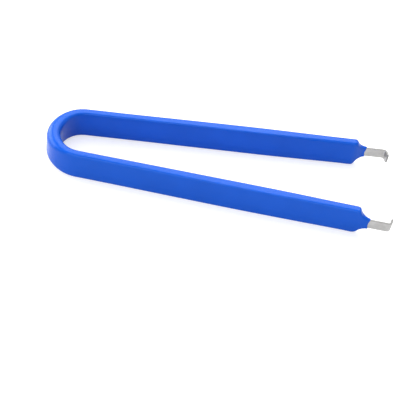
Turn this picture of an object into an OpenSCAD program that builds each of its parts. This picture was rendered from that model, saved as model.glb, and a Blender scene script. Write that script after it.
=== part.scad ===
// U-shaped extractor for dual in-line chips: one spring strip with hooked tips, dipped in soft vinyl.
// Lies on one long edge of the strip, bend towards -X, tips towards +X, +Z up, millimetres.

/* [Spring strip] */
// width of the strip along the bend and arms
strip_width = 8; // [7:0.5:9]
// thickness of the strip
strip_thick = 0.6; // [0.5:0.1:1]
// radius of the bend, at mid thickness
bend_radius = 11; // [8:0.2:14]
// angle each arm opens away from parallel, in degrees
arm_spread = 3.7; // [1:0.1:6]
// straight arm from the bend to the shoulder
arm_length = 90; // [60:1:130]

/* [Hooked tips] */
// width of the neck past the shoulder
neck_width = 3.4; // [2.8:0.2:3.8]
// neck from the shoulder to the start of the hook
neck_length = 10.8; // [7:0.2:14]
// radius in the corner between shoulder and neck
shoulder_radius = 1.4; // [0.6:0.2:1.6]
// inside radius of the hook
hook_radius = 0.8; // [0.5:0.1:1.2]
// angle the hook turns inward, in degrees
hook_angle = 80; // [60:5:90]
// straight tab past the hook
tab_length = 1.8; // [1:0.1:3]
// radius on the two corners of the tab
tab_corner = 0.6; // [0.2:0.1:0.8]

/* [Vinyl coat] */
// coat on the broad face outside the U
coat_outside = 0.5; // [0.5:0.1:1.2]
// coat on the broad face inside the U, where more of the dip stays
coat_inside = 1.9; // [1.6:0.1:2.4]
// coat over each long edge of the strip
coat_edge = 1; // [0.8:0.1:1.2]
// radius on the four long corners of the coat
coat_corner = 0.9; // [0.5:0.1:1]
// more coat on the outside of the bend, at its middle, where the dip drains
drip_outside = 0.5; // [0.2:0.1:0.8]
// more coat on the inside of the bend, at its middle
drip_inside = 0.9; // [0.4:0.1:1.2]
// coat carried past the strip's shoulder before it starts to narrow
coat_shoulder = 1.3; // [1:0.1:1.6]
// radius on the shoulders of the coat
coat_round = 0.8; // [0.4:0.1:1]
// hollow radius of the narrowing between shoulder and mouth
nose_radius = 4; // [3.5:0.5:8]

/* [Mouths] */
// reach of the coat's rim past the strip's shoulder
mouth_reach = 4.8; // [4.2:0.2:5.4]
// height of the coat at the rim
mouth_height = 4.2; // [4.2:0.1:5]
// depth of the hollow trimmed into the rim
rim_dip = 0.4; // [0.1:0.1:0.6]
// thickness of the coat at the rim, on each broad face of the neck
lip_thick = 0.3; // [0.3:0.1:0.6]
// gap between the neck and the coat just inside the rim
lip_gap = 0.1; // [0.05:0.05:0.15]
// depth of that gap behind the rim
pocket_depth = 2.4; // [1.2:0.2:2.8]

/* [Hidden] */
$fn = 96;

// turn of the bend on each side of its middle, and how far half a bend runs on past its middle, in degrees
half_bend = 90 - arm_spread;
bend_lap = 2;
hook_mid_radius = hook_radius + strip_thick / 2;
hook_x = arm_length + neck_length;
// half the block that holds everything on one side of the mid plane
side_reach = 2 * hook_x;

coat_width = strip_width + 2 * coat_edge;
// the coat's faces and the lips at its rim, counted outward from the middle of the strip
outer_face = strip_thick / 2 + coat_outside;
inner_face = -strip_thick / 2 - coat_inside;
lip_face = strip_thick / 2 + lip_gap + lip_thick;
coat_thick = outer_face - inner_face;
coat_offset = (outer_face + inner_face) / 2;
// flat of the coat's section between its corners, and the share of it that the middle layer of the bend takes
coat_flat = coat_thick - 2 * coat_corner;
middle_share = 0.6;
// where the layers of the bend pass into the coat of the arm
coat_start = coat_thick;
coat_end = arm_length + coat_shoulder;
mouth_x = arm_length + mouth_reach;
pocket_x = mouth_x - pocket_depth;

// circle through the coat's shoulder corner and the rim's corner
nose_dx = mouth_x - coat_end;
nose_dz = (coat_width - mouth_height) / 2;
nose_chord = sqrt(nose_dx * nose_dx + nose_dz * nose_dz);
nose_rise = sqrt(nose_radius * nose_radius - nose_chord * nose_chord / 4);
nose_x = coat_end + nose_dx / 2 + nose_rise * nose_dz / nose_chord;
nose_z = coat_width / 2 - nose_dz / 2 + nose_rise * nose_dx / nose_chord;
// circle on the shoulder, touching the coat's long edge and the hollow, and the point where it meets the hollow
round_z = coat_width / 2 - coat_round;
round_x = nose_x - sqrt(pow(nose_radius + coat_round, 2) - pow(nose_z - round_z, 2));
round_share = coat_round / (nose_radius + coat_round);
round_end = [round_x + (nose_x - round_x) * round_share, round_z + (nose_z - round_z) * round_share];
// circle through both corners of the rim
rim_radius = (mouth_height * mouth_height / 4 + rim_dip * rim_dip) / (2 * rim_dip);

// reach of the tab's end along the arm and across it, then the middle of the overall length
tip_along = hook_x + (hook_radius + strip_thick) * sin(hook_angle) + tab_length * cos(hook_angle);
tip_across = bend_radius - hook_mid_radius
    + (hook_radius + strip_thick) * cos(hook_angle) - tab_length * sin(hook_angle);
tip_x = tip_along * cos(arm_spread) - tip_across * sin(arm_spread);
back_x = -drip_outside * (1 - sin(arm_spread)) - bend_radius - outer_face;
middle_x = (tip_x + back_x) / 2;

// placement on the rest plane, centred along X
module at_rest() {
    translate([-middle_x, 0, coat_width / 2])
        children();
}

// arm frame on both sides: +X along the arm from the end of the bend, +Y outward, each side cut at the mid plane
module both_arms() {
    for (side = [0, 1])
        mirror([0, side, 0])
            intersection() {
                translate([-side_reach, 0, -side_reach])
                    cube(2 * side_reach);
                rotate([0, 0, arm_spread])
                    translate([0, bend_radius, 0])
                        children();
            }
}

// a face outline drawn in X and Z, given a thickness centred on Y
module plate(thick) {
    translate([0, thick / 2, 0])
        rotate([90, 0, 0])
            linear_extrude(height = thick)
                children();
}

// part of a bend, turning back towards -Y from the end of a straight
// the cross section is drawn in Y and Z
module turn_back(radius, sweep) {
    translate([0, -radius, 0])
        rotate([0, 0, 90])
            rotate_extrude(angle = sweep)
                translate([radius, 0])
                    children();
}

// arm and neck as cut from flat strip, with a radius in each inside corner
module arm_outline() {
    translate([0, -strip_width / 2])
        square([arm_length, strip_width]);
    translate([0, -neck_width / 2])
        square([hook_x, neck_width]);
    for (side = [0, 1])
        mirror([0, side])
            translate([arm_length, neck_width / 2])
                difference() {
                    square(shoulder_radius);
                    translate([shoulder_radius, shoulder_radius])
                        circle(shoulder_radius);
                }
}

// tab with its two free corners rounded
module tab_outline() {
    translate([0, -neck_width / 2])
        square([tab_length - tab_corner, neck_width]);
    translate([0, -neck_width / 2 + tab_corner])
        square([tab_length, neck_width - 2 * tab_corner]);
    for (side = [-1, 1])
        translate([tab_length - tab_corner, side * (neck_width / 2 - tab_corner)])
            circle(tab_corner);
}

// one half of the hook's bend, from the straight it joins to just past the middle
module half_hook() {
    turn_back(hook_mid_radius, hook_angle / 2 + bend_lap)
        square([strip_thick, neck_width], center = true);
}

// hook and tab at the end of the neck
module hook() {
    translate([hook_x, 0, 0])
        mirror([1, 0, 0])
            half_hook();
    translate([hook_x, -hook_mid_radius, 0])
        rotate([0, 0, -hook_angle])
            translate([0, hook_mid_radius, 0]) {
                half_hook();
                plate(strip_thick)
                    tab_outline();
            }
}

module strip_shape() {
    both_arms() {
        turn_back(bend_radius, half_bend + bend_lap)
            square([strip_thick, strip_width], center = true);
        plate(strip_thick)
            arm_outline();
        hook();
    }
}

// rounded cross section of the coat, round a strip at the origin
module coat_section() {
    translate([coat_offset, 0]) {
        square([coat_thick, coat_width - 2 * coat_corner], center = true);
        square([coat_thick - 2 * coat_corner, coat_width], center = true);
        for (a = [-1, 1], b = [-1, 1])
            translate([a * (coat_thick / 2 - coat_corner), b * (coat_width / 2 - coat_corner)])
                circle(coat_corner);
    }
}

// the coat's section less its two inner corners (1) or its two outer corners (-1)
module layer_section(side) {
    intersection() {
        coat_section();
        translate([coat_offset + side * coat_corner, 0])
            square([coat_thick, 2 * coat_width], center = true);
    }
}

// layer of the coat round half the bend and on to the arm, set along X so that it stands clear at the middle
module bend_layer(shift) {
    start = shift * cos(arm_spread);
    translate([start, 0, 0]) {
        turn_back(bend_radius + shift * sin(arm_spread), half_bend + bend_lap)
            children();
        rotate([90, 0, 90])
            linear_extrude(height = coat_start - start)
                children();
    }
}

// the coat round half the bend, thicker to both sides of the strip at the middle
module coat_bend() {
    bend_layer(-drip_outside)
        layer_section(1);
    bend_layer((drip_inside - drip_outside) / 2)
        translate([coat_offset, 0])
            square([coat_flat * middle_share, coat_width], center = true);
    bend_layer(drip_inside)
        layer_section(-1);
}

// what is trimmed off the corner of a shoulder
module shoulder_trim() {
    difference() {
        polygon([
            [round_x, round_z], [round_x, coat_width / 2 + coat_round],
            [round_end[0] + coat_round, coat_width / 2 + coat_round], round_end]);
        translate([round_x, round_z])
            circle(coat_round);
    }
}

// outline of the coat on the broad face: rounded shoulders, hollow sides and a dipped rim
module coat_outline() {
    difference() {
        translate([coat_start, -coat_width / 2])
            square([mouth_x - coat_start, coat_width]);
        for (side = [0, 1])
            mirror([0, side]) {
                translate([nose_x, nose_z])
                    circle(nose_radius);
                shoulder_trim();
            }
        translate([mouth_x - rim_dip + rim_radius, 0])
            circle(rim_radius);
    }
}

// a shape drawn in X and Y, as seen along the strip's width, carried over the coat's width
module across_width() {
    translate([0, 0, -coat_width / 2])
        linear_extrude(height = coat_width)
            children();
}

// the coat's faces draw in from the shoulder to the lips at the rim
module coat_profile() {
    polygon([
        [coat_start, inner_face], [coat_end, inner_face], [mouth_x, -lip_face],
        [mouth_x, lip_face], [coat_end, outer_face], [coat_start, outer_face]]);
}

module coat_arm() {
    intersection() {
        rotate([90, 0, 90])
            linear_extrude(height = mouth_x)
                coat_section();
        translate([0, coat_offset, 0])
            plate(coat_thick)
                coat_outline();
        across_width()
            coat_profile();
    }
}

// room round the neck just inside the rim, where the coat stands clear of the steel
module mouth_pocket() {
    plate(strip_thick + 2 * lip_gap)
        translate([pocket_x, -neck_width / 2 - lip_gap])
            square([hook_x - pocket_x, neck_width + 2 * lip_gap]);
}

module steel_strip() {
    color("silver")
        at_rest()
            strip_shape();
}

module vinyl_coat() {
    color("royalblue")
        at_rest()
            difference() {
                both_arms() {
                    coat_bend();
                    coat_arm();
                }
                strip_shape();
                both_arms()
                    mouth_pocket();
            }
}

steel_strip();
vinyl_coat();
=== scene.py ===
from math import cos, pi, radians, sin, sqrt

import bmesh
import bpy
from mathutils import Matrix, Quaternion, Vector, noise


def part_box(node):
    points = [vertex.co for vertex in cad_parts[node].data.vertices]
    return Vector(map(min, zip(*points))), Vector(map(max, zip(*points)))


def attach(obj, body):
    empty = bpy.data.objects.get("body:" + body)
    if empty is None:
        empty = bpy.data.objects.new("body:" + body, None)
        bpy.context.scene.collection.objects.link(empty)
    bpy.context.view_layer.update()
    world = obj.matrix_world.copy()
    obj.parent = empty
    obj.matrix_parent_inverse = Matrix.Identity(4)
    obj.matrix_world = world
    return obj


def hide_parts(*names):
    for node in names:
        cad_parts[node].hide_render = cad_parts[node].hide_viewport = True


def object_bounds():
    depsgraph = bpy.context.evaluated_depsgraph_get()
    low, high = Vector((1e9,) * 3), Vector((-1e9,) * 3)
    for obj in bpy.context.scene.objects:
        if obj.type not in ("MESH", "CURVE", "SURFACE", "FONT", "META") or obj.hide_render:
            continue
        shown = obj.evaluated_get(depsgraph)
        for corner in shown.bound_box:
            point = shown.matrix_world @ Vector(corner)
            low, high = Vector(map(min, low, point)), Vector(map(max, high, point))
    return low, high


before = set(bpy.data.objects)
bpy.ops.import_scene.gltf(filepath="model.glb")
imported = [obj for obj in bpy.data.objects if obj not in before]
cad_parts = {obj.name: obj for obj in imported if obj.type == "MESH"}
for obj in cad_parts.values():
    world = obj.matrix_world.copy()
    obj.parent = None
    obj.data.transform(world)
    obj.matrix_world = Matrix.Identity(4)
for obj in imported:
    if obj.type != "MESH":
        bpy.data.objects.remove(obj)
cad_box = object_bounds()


# ---- Spring strip ----
# One blanked strip of thin spring steel, bent round a mandrel into a U, its narrow tips hooked in.
# The faces keep the satin grain of the rolling mill and the sheared edges are tumbled just round.
# Only the two necks and hooks show; the rest is the core inside the vinyl.

# sizes are in millimetres, and a millimetre is this many metres
MM = 0.001

strip_width = 8.0
strip_thick = 0.6
sheared_edge = 0.08
bend_radius = 11.0
arm_spread = radians(3.7)
arm_length = 90.0
neck_width = 3.4
neck_length = 10.8
shoulder_radius = 1.4
hook_turn = radians(80)
hook_mid_radius = 1.1
tab_length = 1.8
tab_corner = 0.6

hook_start = arm_length + neck_length
tab_start = hook_start + hook_mid_radius * hook_turn
strip_end = tab_start + tab_length
bend_turn = pi / 2 - arm_spread
bend_run = bend_radius * bend_turn

strip_low, strip_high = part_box("steel_strip")
bend_x = strip_low.x / MM + bend_radius + strip_thick / 2
mid_z = (strip_low.z + strip_high.z) / 2 / MM


def beside_strip(run, out):
    """Plan point `run` mm along the strip from mid bend and `out` mm outside its mid thickness."""
    side = 1 if run >= 0 else -1
    along = abs(run) - bend_run
    if along <= 0:
        turn = pi - abs(run) / bend_radius
        x, y = (bend_radius + out) * cos(turn), (bend_radius + out) * sin(turn)
    else:
        turn = min(max(along - hook_start, 0) / hook_mid_radius, hook_turn)
        past = max(along - tab_start, 0)
        x = min(along, hook_start) + (hook_mid_radius + out) * sin(turn) + past * cos(turn)
        y = bend_radius - hook_mid_radius + (hook_mid_radius + out) * cos(turn) - past * sin(turn)
        x, y = (x * cos(arm_spread) - y * sin(arm_spread),
                x * sin(arm_spread) + y * cos(arm_spread))
    return bend_x + x, side * y


def strip_half_width(along):
    """Half the blanked width, `along` mm past the bend: arm, hollow shoulder, neck, rounded tab."""
    if along <= arm_length:
        return strip_width / 2
    if along < arm_length + shoulder_radius:
        left = shoulder_radius - (along - arm_length)
        return neck_width / 2 + shoulder_radius - sqrt(shoulder_radius ** 2 - left ** 2)
    corner = max(tab_corner - (strip_end - along), 0)
    return neck_width / 2 - tab_corner + sqrt(tab_corner ** 2 - corner ** 2)


def spread(start, end, count):
    """`count` even steps from start to end, both ends included."""
    return [start + (end - start) * i / count for i in range(count + 1)]


# the blanked step from arm to shoulder lies between two stations this close together
step_gap = 0.002
neck_lead = 2.0


def shoulder_stations(count):
    """Stations through the hollow shoulder, closer together at its step."""
    return [arm_length + shoulder_radius * (1 - cos(t)) + step_gap
            for t in spread(0, pi / 2, count)]


strip_stations = (
    [along - bend_run for along in spread(0, bend_run, 36)][:-1]
    + spread(0, arm_length, 30)
    + shoulder_stations(8)
    + spread(arm_length + neck_lead, hook_start, 16)
    + spread(hook_start, tab_start, 16)[1:]
    + spread(tab_start, strip_end - tab_corner, 3)[1:]
    + [strip_end - tab_corner * (1 - sin(t)) for t in spread(0, pi / 2, 10)][1:]
)
edge_steps = 3


def strip_section(along):
    """Section of the strip as (out, up) points: flat faces, sheared edges a little rounded."""
    inset = max(sheared_edge - (strip_end - along), 0)
    inset = sheared_edge - sqrt(sheared_edge ** 2 - inset ** 2)
    half_thick = strip_thick / 2 - inset
    half_width = strip_half_width(along) - inset
    edge = sheared_edge
    points = []
    for across, up, quarter in ((1, 1, 0), (-1, 1, 1), (-1, -1, 2), (1, -1, 3)):
        for t in spread(quarter * pi / 2, (quarter + 1) * pi / 2, edge_steps):
            points.append((across * (half_thick - edge) + edge * cos(t),
                           up * (half_width - edge) + edge * sin(t)))
    return points


strip_mesh = bmesh.new()
grain_uv = strip_mesh.loops.layers.uv.new("grain")
# each side of the strip takes its grain from another place
grain_shift = 0.7
strip_runs = ([-bend_run - along for along in reversed(strip_stations)]
              + [bend_run + along for along in strip_stations][1:])
strip_rings = []
for run in strip_runs:
    ring = []
    for out, up in strip_section(abs(run) - bend_run):
        x, y = beside_strip(run, out)
        ring.append(strip_mesh.verts.new(Vector((x, y, mid_z + up)) * MM))
    strip_rings.append(ring)
girth = len(strip_rings[0])
broad_faces = (girth // 2 - 1, girth - 1)
for i in range(len(strip_rings) - 1):
    for k in range(girth):
        corners = [(i, k), (i, k + 1), (i + 1, k + 1), (i + 1, k)]
        face = strip_mesh.faces.new([strip_rings[a][b % girth] for a, b in corners])
        face.material_index = 0 if k in broad_faces else 1
        side = k // (edge_steps + 1)
        for loop, (a, b) in zip(face.loops, corners):
            loop[grain_uv].uv = (strip_runs[a], loop.vert.co.z / MM + grain_shift * side)
for ring in (strip_rings[0], strip_rings[-1]):
    strip_mesh.faces.new(ring).material_index = 1
bmesh.ops.recalc_face_normals(strip_mesh, faces=strip_mesh.faces)


def piece_from(mesh, name, crease):
    """Finished object from a bmesh, smooth but for edges sharper than `crease` degrees."""
    data = bpy.data.meshes.new(name)
    mesh.to_mesh(data)
    mesh.free()
    data.shade_smooth()
    data.set_sharp_from_angle(angle=radians(crease))
    piece = bpy.data.objects.new(name, data)
    bpy.context.scene.collection.objects.link(piece)
    return piece


spring_strip = piece_from(strip_mesh, "spring_strip", crease=40)


def node_maker(tree):
    """Function that adds a node to `tree`, with the outputs that feed it and settings by name."""
    def node(kind, feeds=None, **settings):
        made = tree.nodes.new("ShaderNode" + kind)
        for key, value in settings.items():
            if hasattr(made, key):
                setattr(made, key, value)
            else:
                made.inputs[key.replace("_", " ")].default_value = value
        for socket, source in (feeds or {}).items():
            tree.links.new(source, made.inputs[socket])
        return made

    return node


def new_finish(name):
    """New node material: itself, its shader, and functions that add a node and feed the shader."""
    finish = bpy.data.materials.new(name)
    finish.use_nodes = True
    tree = finish.node_tree
    shader = tree.nodes["Principled BSDF"]

    def feed(socket, source):
        tree.links.new(source, shader.inputs[socket])

    return finish, shader, node_maker(tree), feed


def ramp_stops(ramp, *stops):
    """Sets the two stops of a colour ramp, each a position and a colour."""
    for element, (position, colour) in zip(ramp.color_ramp.elements, stops):
        element.position = position
        element.color = (*colour, 1)


satin_steel, steel, node, feed = new_finish("satin_spring_steel")
grain_map = node("UVMap", uv_map="grain")
drawn_out = node("Mapping", {"Vector": grain_map.outputs["UV"]}, Scale=(0.35, 14, 1))
mill_grain = node("TexNoise", {"Vector": drawn_out.outputs["Vector"]},
                  Scale=1.0, Detail=4, Roughness=0.6)
where = node("TexCoord")
handling = node("TexNoise", {"Vector": where.outputs["Object"]},
                Scale=420, Detail=3, Roughness=0.55)
grain_tone = node("ValToRGB", {"Fac": mill_grain.outputs["Fac"]})
ramp_stops(grain_tone, (0.3, (0.395, 0.391, 0.387)), (0.7, (0.475, 0.47, 0.464)))
smudge_tone = node("ValToRGB", {"Fac": handling.outputs["Fac"]})
ramp_stops(smudge_tone, (0.35, (0.86, 0.855, 0.85)), (0.65, (1, 1, 1)))
steel_tone = node("VectorMath",
                  {0: grain_tone.outputs["Color"], 1: smudge_tone.outputs["Color"]},
                  operation="MULTIPLY")
feed("Base Color", steel_tone.outputs["Vector"])
steel_gloss = node("MapRange", {"Value": mill_grain.outputs["Fac"]}, To_Min=0.34, To_Max=0.5)
feed("Roughness", steel_gloss.outputs["Result"])
grain_relief = node("Bump", {"Height": mill_grain.outputs["Fac"]},
                    Strength=0.25, Distance=0.00002)
feed("Normal", grain_relief.outputs["Normal"])
steel.inputs["Metallic"].default_value = 1
steel.inputs["Anisotropic"].default_value = 0.3
spring_strip.data.materials.append(satin_steel)

sheared_steel, steel, node, feed = new_finish("sheared_steel_edge")
grain_map = node("UVMap", uv_map="grain")
across = node("Mapping", {"Vector": grain_map.outputs["UV"]}, Scale=(9, 1.5, 1))
shear_marks = node("TexNoise", {"Vector": across.outputs["Vector"]},
                   Scale=1.0, Detail=3, Roughness=0.55)
edge_tone = node("ValToRGB", {"Fac": shear_marks.outputs["Fac"]})
ramp_stops(edge_tone, (0.3, (0.18, 0.178, 0.174)), (0.7, (0.246, 0.243, 0.237)))
feed("Base Color", edge_tone.outputs["Color"])
edge_gloss = node("MapRange", {"Value": shear_marks.outputs["Fac"]}, To_Min=0.5, To_Max=0.66)
feed("Roughness", edge_gloss.outputs["Result"])
edge_relief = node("Bump", {"Height": shear_marks.outputs["Fac"]},
                   Strength=0.2, Distance=0.00002)
feed("Normal", edge_relief.outputs["Normal"])
steel.inputs["Metallic"].default_value = 1
spring_strip.data.materials.append(sheared_steel)

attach(spring_strip, "root")
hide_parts("steel_strip")


# ---- Vinyl coat ----
# Soft plastisol that the bent strip was dipped in, bend first, and cured, so its edges are round
# and its faces glossy. It drained to the bend and gathered there on both sides of the strip. Past
# the strip's shoulders it narrows and is trimmed, with a rim that stands just clear of the neck.

coat_width = 10.0
outer_face = 0.8
inner_face = -2.2

# the drip at the bend, and how its share falls off towards the bend's ends
drip_outside = 0.48
drip_inside = 0.9
drip_falloff = 1.5

# the long corners: tightest two thirds along the arm, rounder at the tips, roundest in the drip
coat_corner = 0.5
tip_corner = 0.95
outer_drip_corner = 2.4
inner_drip_corner = 1.5
arm_softness = 0.3
tight_from = 60.0

# the coat sinks towards the tips, thinner outside and thicker inside
sink_from = 10.0
outer_thinning = 0.1
inner_thickening = 0.1

# the narrowing, and the mouth round the neck
coat_end = 91.3
mouth_x = 94.8
mouth_height = 4.2
nose_radius = 4.0
corner_lead = 2.0
face_lead = 1.5
lip_face = 0.7
lip_flat = 0.05
lip_gap = 0.1
lip_thick = 0.4
pocket_depth = 2.4
rim_dip = 0.4
# how round the dip left each shoulder, by arm (1 far, -1 near) and edge (1 upper, -1 lower)
shoulder_round = {(1, 1): 1.6, (1, -1): 0.9, (-1, 1): 0.9, (-1, -1): 2.2}

# unevenness of the trimmed rim: its depth, waves to a millimetre, and places in the noise
rim_uneven = 0.07
rim_waves = 1.1
rim_place = (3.7, 0.5)

# slow ripple of the dip: its depth, length along the arm, waves to a millimetre across, share
# on the edges, and the length over which it fades before the shoulders
coat_ripple = 0.05
ripple_length = 16
ripple_waves_out = 0.35
ripple_waves_up = 0.12
ripple_on_edges = 0.6
ripple_fade = 4.0

core_corner = 0.06
core_clearance = 0.02

# hollow narrowing through the coat's shoulder and the rim's corner
nose_dx = mouth_x - coat_end
nose_dz = (coat_width - mouth_height) / 2
nose_chord = sqrt(nose_dx ** 2 + nose_dz ** 2)
nose_rise = sqrt(nose_radius ** 2 - nose_chord ** 2 / 4)
nose_x = coat_end + nose_dx / 2 + nose_rise * nose_dz / nose_chord
nose_z = coat_width / 2 - nose_dz / 2 + nose_rise * nose_dx / nose_chord
rim_radius = (mouth_height ** 2 / 4 + rim_dip ** 2) / (2 * rim_dip)


def ease(value, start, end):
    """Smooth step from 0 at start to 1 at end."""
    t = min(max((value - start) / (end - start), 0), 1)
    return t * t * (3 - 2 * t)


def arm_of(run):
    """The arm that a run lies on: 1 far, -1 near."""
    return 1 if run > 0 else -1


def past_bend(run):
    """Distance along the arm from the end of the bend, 0 within the bend."""
    return max(abs(run) - bend_run, 0)


def gathered(run):
    """Share of the drip at this place: 1 at the middle of the bend, 0 near its ends and beyond."""
    turn = min(abs(run), bend_run) / bend_radius
    return ease(drip_falloff * cos(turn) - (drip_falloff - 1), 0, 1)


def coat_half_height(along, corner):
    """Half the height of the broad face: straight, a rounded shoulder, then the narrowing."""
    dip_z = coat_width / 2 - corner
    dip_x = nose_x - sqrt((nose_radius + corner) ** 2 - (nose_z - dip_z) ** 2)
    dip_end = dip_x + (nose_x - dip_x) * corner / (nose_radius + corner)
    if along <= dip_x:
        return coat_width / 2
    if along <= dip_end:
        return dip_z + sqrt(corner ** 2 - (along - dip_x) ** 2)
    return nose_z - sqrt(nose_radius ** 2 - (along - nose_x) ** 2)


def coat_faces(run):
    """Outer and inner face of the coat, outward from mid strip, drawn in to the lips at the rim."""
    sunk = ease(past_bend(run), sink_from, arm_length)
    drawn = ease(past_bend(run), coat_end - face_lead, mouth_x)
    outer = outer_face - outer_thinning * sunk + drip_outside * gathered(run)
    inner = inner_face - inner_thickening * sunk - drip_inside * gathered(run)
    return outer + (lip_face - outer) * drawn, inner + (-lip_face - inner) * drawn


corner_steps = 8
side_steps = {"edge": 3, "face": 10}


def round_ring(outer, inner, top, bottom, outer_corner, inner_corner):
    """Rounded rectangle from inner to outer and bottom to top, as (out, up) points in order."""
    quarters = ((1, 1, outer, top, outer_corner), (-1, 1, inner, top, inner_corner),
                (-1, -1, inner, bottom, inner_corner), (1, -1, outer, bottom, outer_corner))
    arcs = []
    for turn, (side, way, face, edge, corner) in enumerate(quarters):
        middle_out, middle_up = face - side * corner, edge - corner * way
        arcs.append([(middle_out + corner * cos(t), middle_up + corner * sin(t))
                     for t in spread(turn * pi / 2, (turn + 1) * pi / 2, corner_steps)])
    points = []
    for turn, arc in enumerate(arcs):
        (out_a, up_a), (out_b, up_b) = arc[-1], arcs[(turn + 1) % 4][0]
        steps = side_steps["face" if turn % 2 else "edge"]
        points += arc + [(out_a + (out_b - out_a) * t, up_a + (up_b - up_a) * t)
                         for t in spread(0, 1, steps)[1:-1]]
    return points


def skin_ring(run):
    """Outside of the coat at one station."""
    along, arm = past_bend(run), arm_of(run)
    outer, inner = coat_faces(run)
    top = coat_half_height(along, shoulder_round[arm, 1])
    bottom = -coat_half_height(along, shoulder_round[arm, -1])
    settled = coat_end - corner_lead
    corner = coat_corner + (tip_corner - coat_corner) * ease(along, tight_from, settled)
    corner += (lip_face - lip_flat - corner) * ease(along, settled, mouth_x)
    drip = gathered(run)
    softened = drip + (1 - drip) * arm_softness * (1 - ease(along, 0, tight_from))
    outer_corner = corner + (outer_drip_corner - corner) * softened
    inner_corner = corner + (inner_drip_corner - corner) * softened
    return round_ring(outer, inner, top, bottom, outer_corner, inner_corner)


def in_mouth(run):
    """How far a station lies in the open pocket of the mouth: 0 behind it, 1 at the rim."""
    return ease(past_bend(run), mouth_x - pocket_depth, mouth_x)


def core_ring(run):
    """Inside of the coat, close on the strip, and standing clear of the neck in the mouth."""
    gap = core_clearance + (lip_gap - core_clearance) * in_mouth(run)
    thick = strip_thick / 2 + gap
    half = strip_half_width(past_bend(run)) + gap
    return round_ring(thick, -thick, half, -half, core_corner, core_corner)


def rim_shift(run, up):
    """How far the rim lies back of the mouth: hollow across its middle, and cut unevenly."""
    hollow = rim_radius - sqrt(rim_radius ** 2 - up ** 2) - rim_dip
    arm = arm_of(run)
    place = Vector((up * rim_waves, arm * rim_place[0], rim_place[1]))
    return arm * (hollow + rim_uneven * noise.noise(place)) * in_mouth(run)


coat_mesh = bmesh.new()


def coat_vertex(run, out, up, ripple=0.0):
    """Vertex of the coat, drawn inward by the slow ripple that a dip leaves in its skin."""
    place = Vector((run / ripple_length, out * ripple_waves_out, up * ripple_waves_up))
    depth = ripple * (0.5 + 0.5 * noise.noise(place))
    depth = depth * (1 - ease(past_bend(run), arm_length - ripple_fade, arm_length))
    middle = (outer_face + inner_face) / 2
    x, y = beside_strip(run, out - depth * (1 if out > middle else -1))
    up -= ripple_on_edges * depth * up / (coat_width / 2)
    return coat_mesh.verts.new(Vector((x, y, mid_z + up)) * MM)


def coat_ring(run, section, ripple=0.0):
    """Ring of vertices at one station, its rim shaped near the mouth."""
    return [coat_vertex(run + rim_shift(run, up), out, up, ripple) for out, up in section]


# stations lie closer together near the tips, and closest through the narrowing
closer_from = 84.0
core_neck_lead = 1.8
skin_stations = (
    spread(0, closer_from, 42)
    + spread(closer_from, coat_end - corner_lead, 14)[1:]
    + [mouth_x - (mouth_x - coat_end + corner_lead) * (1 - t) for t in spread(0, 1, 36)][1:]
)
core_stations = (
    spread(0, arm_length, 30)
    + shoulder_stations(6)
    + spread(arm_length + core_neck_lead, mouth_x, 14)
)
bend_stations = spread(-bend_run, bend_run, 96)[1:-1]


def along_u(stations):
    """Stations of one arm carried round the whole U, as runs from one mouth to the other."""
    return ([-bend_run - along for along in reversed(stations)] + bend_stations
            + [bend_run + along for along in stations])


skin_rings = [coat_ring(run, skin_ring(run), coat_ripple) for run in along_u(skin_stations)]
core_rings = [coat_ring(run, core_ring(run)) for run in along_u(core_stations)]


def lip_rings(run):
    """Rounded edge of the rim at one mouth, from the outside of the coat to the inside."""
    rings = []
    outside, inside = skin_ring(run), core_ring(run)
    for t in spread(0, pi, 8)[1:-1]:
        share = (1 - cos(t)) / 2
        ring = []
        for (out_a, up_a), (out_b, up_b) in zip(outside, inside):
            out, up = out_a + (out_b - out_a) * share, up_a + (up_b - up_a) * share
            thick = min(sqrt((out_a - out_b) ** 2 + (up_a - up_b) ** 2), lip_thick)
            bulge = 0.5 * thick * sin(t)
            ring.append(coat_vertex(run + rim_shift(run, up) + arm_of(run) * bulge, out, up))
        rings.append(ring)
    return rings


mouth_run = bend_run + mouth_x
coat_rings = skin_rings + lip_rings(mouth_run) + core_rings[::-1] + lip_rings(-mouth_run)[::-1]
for first, second in zip(coat_rings, coat_rings[1:] + coat_rings[:1]):
    for k in range(len(first)):
        m = (k + 1) % len(first)
        coat_mesh.faces.new((first[k], first[m], second[m], second[k]))
bmesh.ops.recalc_face_normals(coat_mesh, faces=coat_mesh.faces)
vinyl_coat = piece_from(coat_mesh, "dipped_vinyl_coat", crease=50)

blue_vinyl, vinyl, node, feed = new_finish("glossy_blue_vinyl")
where = node("TexCoord")
dye_drift = node("TexNoise", {"Vector": where.outputs["Object"]},
                 Scale=70, Detail=3, Roughness=0.5)
blue = node("ValToRGB", {"Fac": dye_drift.outputs["Fac"]})
ramp_stops(blue, (0.3, (0.0015, 0.08, 0.54)), (0.7, (0.003, 0.091, 0.6)))
feed("Base Color", blue.outputs["Color"])
cure_haze = node("TexNoise", {"Vector": where.outputs["Object"]},
                 Scale=260, Detail=4, Roughness=0.55)
vinyl_gloss = node("MapRange", {"Value": cure_haze.outputs["Fac"]}, To_Min=0.16, To_Max=0.28)
feed("Roughness", vinyl_gloss.outputs["Result"])
peel = node("TexNoise", {"Vector": where.outputs["Object"]},
            Scale=900, Detail=2, Roughness=0.4)
peel_relief = node("Bump", {"Height": peel.outputs["Fac"]}, Strength=0.08, Distance=0.00006)
sag_relief = node("Bump",
                  {"Height": cure_haze.outputs["Fac"], "Normal": peel_relief.outputs["Normal"]},
                  Strength=0.08, Distance=0.0002)
feed("Normal", sag_relief.outputs["Normal"])
# the sheen is low, and a little blue from the dye under the skin
vinyl.inputs["Specular IOR Level"].default_value = 0.2
vinyl.inputs["Specular Tint"].default_value = (0.72, 1, 1, 1)
vinyl_coat.data.materials.append(blue_vinyl)

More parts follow.
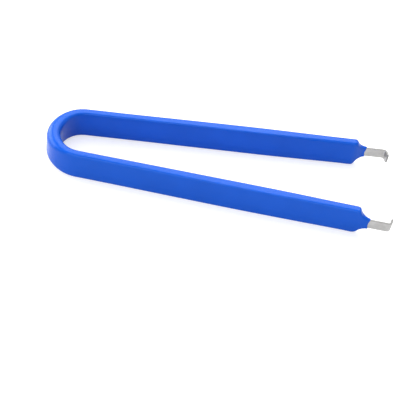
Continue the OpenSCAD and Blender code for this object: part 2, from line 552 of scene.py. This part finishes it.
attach(vinyl_coat, "root")
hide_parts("vinyl_coat")


# ---- Studio floor ----
# A wide matt white sheet under the tool, which lies on the long edge of its coat.
# It shows white to the camera and keeps the tool's soft contact shadow.

# in metres
floor_half = 3.0
floor_gap = 0.00005
floor_mesh = bmesh.new()
bmesh.ops.create_grid(floor_mesh, x_segments=8, y_segments=8, size=floor_half)
floor = piece_from(floor_mesh, "studio_floor", crease=40)
floor.location.z = cad_box[0][2] - floor_gap


def seen_rays(node):
    """1 for the rays that show a surface: from the camera, mirrored, or through something clear."""
    path = node("LightPath")
    seen = node("Math", {0: path.outputs["Is Camera Ray"], 1: path.outputs["Is Glossy Ray"]},
                operation="MAXIMUM")
    seen_too = node("Math", {0: seen.outputs["Value"], 1: path.outputs["Is Transmission Ray"]},
                    operation="MAXIMUM")
    return seen_too.outputs["Value"]


white_sheet, sheet, node, feed = new_finish("matt_white_sheet")
sheet.inputs["Base Color"].default_value = (0.6, 0.6, 0.6, 1)
sheet.inputs["Roughness"].default_value = 0.9
sheet.inputs["Specular IOR Level"].default_value = 0.1
sheet.inputs["Emission Color"].default_value = (1, 1, 1, 1)
# the lift to white grows away from the tool, where the lamps' light falls off
spot = node("TexCoord")
reach = node("VectorMath", {0: spot.outputs["Object"]}, operation="LENGTH")
lift = node("MapRange", {"Value": reach.outputs["Value"]},
            From_Min=0.25, From_Max=1.0, To_Min=0.58, To_Max=0.82)
lifted = node("Math", {0: seen_rays(node), 1: lift.outputs["Result"]}, operation="MULTIPLY")
feed("Emission Strength", lifted.outputs["Value"])
floor.data.materials.append(white_sheet)


# ---- Studio light ----
# One soft box above and behind the tool for the sheen along its upper edges, one at the left for
# the outside of the bend, a wide one in front for the broad faces, and an even white room.

room = bpy.data.worlds.new("white_room")
room.use_nodes = True
bpy.context.scene.world = room
node = node_maker(room.node_tree)
room_level = node("MapRange", {"Value": seen_rays(node)}, To_Min=0.35, To_Max=1.0)
room_light = room.node_tree.nodes["Background"]
room_light.inputs["Color"].default_value = (1, 1, 1, 1)
room.node_tree.links.new(room_level.outputs["Result"], room_light.inputs["Strength"])

tool_middle = Vector((0, 0, 0))


def soft_box(name, place, size, power):
    """Rectangular studio lamp at `place`, turned to the tool, in metres and watts."""
    lamp = bpy.data.lights.new(name, "AREA")
    lamp.shape = "RECTANGLE"
    lamp.size, lamp.size_y = size
    lamp.energy = power
    box = bpy.data.objects.new(name, lamp)
    box.location = place
    box.rotation_mode = "QUATERNION"
    box.rotation_quaternion = (tool_middle - Vector(place)).to_track_quat("-Z", "Y")
    bpy.context.scene.collection.objects.link(box)


soft_box("overhead_soft_box", place=(0, 0.3, 0.52), size=(0.6, 0.6), power=4.0)
soft_box("left_soft_box", place=(-0.55, 0.22, 0.2), size=(0.6, 0.4), power=3.2)
soft_box("front_soft_box", place=(-0.25, -0.95, 0.6), size=(1.2, 0.8), power=8.4)


# ---- Camera ----
# Looking down at the tool from in front at about 45 degrees, with a long lens and a slight tilt.
# Place, aim and tilt, in metres, come from one fit to the outlines of the arms, bend and tips.

camera_place = Vector((-0.015576, -0.240472, 0.228354))
camera_aim = Vector((-0.004986, -0.017988, 0.005))
camera_tilt = radians(10.576)
lens = bpy.data.cameras.new("camera")
lens.lens = 90
lens.sensor_width = 36
camera = bpy.data.objects.new("camera", lens)
camera.location = camera_place
camera.rotation_mode = "QUATERNION"
camera.rotation_quaternion = (
    (camera_aim - camera_place).to_track_quat("-Z", "Y") @ Quaternion((0, 0, 1), camera_tilt))
bpy.context.scene.collection.objects.link(camera)
bpy.context.scene.camera = camera
bpy.context.scene.view_settings.view_transform = "Standard"
